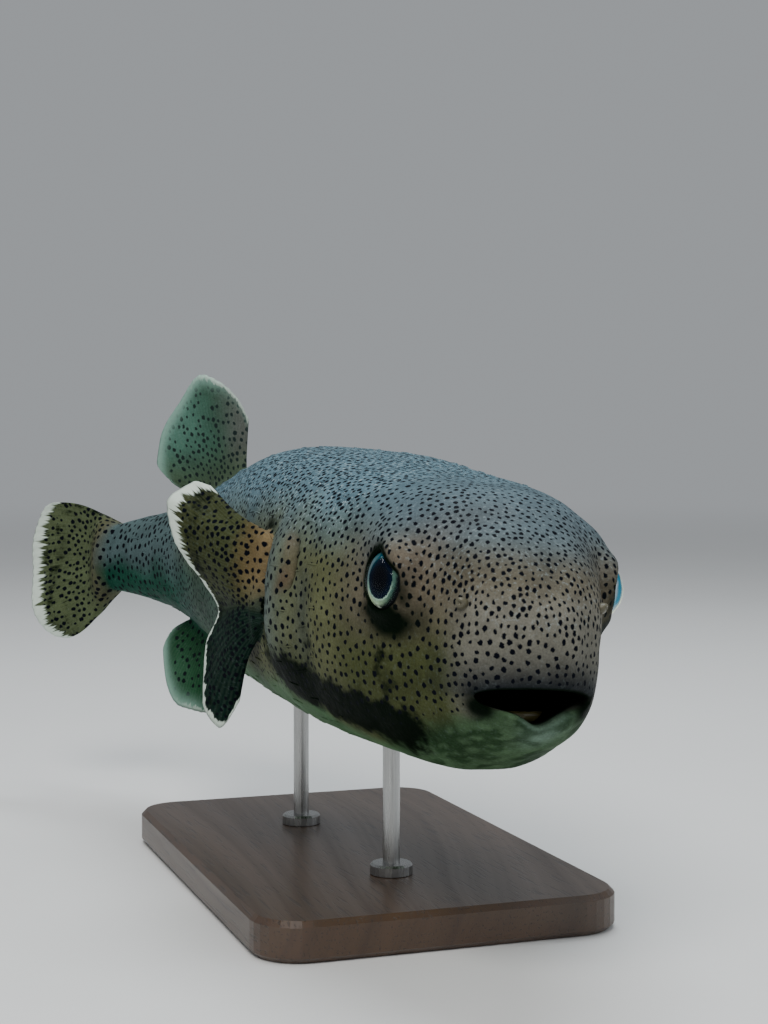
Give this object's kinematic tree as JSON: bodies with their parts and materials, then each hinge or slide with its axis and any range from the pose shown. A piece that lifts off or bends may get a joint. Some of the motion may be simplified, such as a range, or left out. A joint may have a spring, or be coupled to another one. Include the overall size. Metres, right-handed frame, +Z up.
{
  "type": "spotted porcupinefish model",
  "caption": "Life-size still model of a spotted porcupinefish, spines flat and tail swung to one side, on a flat base with short rods.",
  "frame": {"origin": "centre of the stand base's underside, on the floor", "axes": "+Z up, the fish's head towards -Y and its right side towards -X"},
  "size_m": [0.2195, 0.5357, 0.2584],
  "materials": {
    "spotted_skin": "satin grey-brown skin with small navy-black spots and a pale underside",
    "fin_skin": "satin olive-tan membrane with dark spots and whitish margins",
    "eye": "wet gloss, navy-black pupil with a pale ring",
    "tooth_plate": "ivory, satin",
    "stand_wood": "dark oiled oak",
    "stand_steel": "brushed"
  },
  "bodies": {
    "root": {"head": "spotted_skin", "trunk": "spotted_skin", "tail_stalk": "spotted_skin", "caudal_fin": "fin_skin", "dorsal_fin": "fin_skin", "anal_fin": "fin_skin", "pectoral_fin_right": "fin_skin", "pectoral_fin_left": "fin_skin", "nostril_right": "spotted_skin", "nostril_left": "spotted_skin", "eye_right": "eye", "eye_left": "eye", "upper_tooth_plate": "tooth_plate", "lower_tooth_plate": "tooth_plate", "stand_base": "stand_wood", "stand_rod_front": "stand_steel", "stand_rod_rear": "stand_steel"}
  },
  "joints": []
}
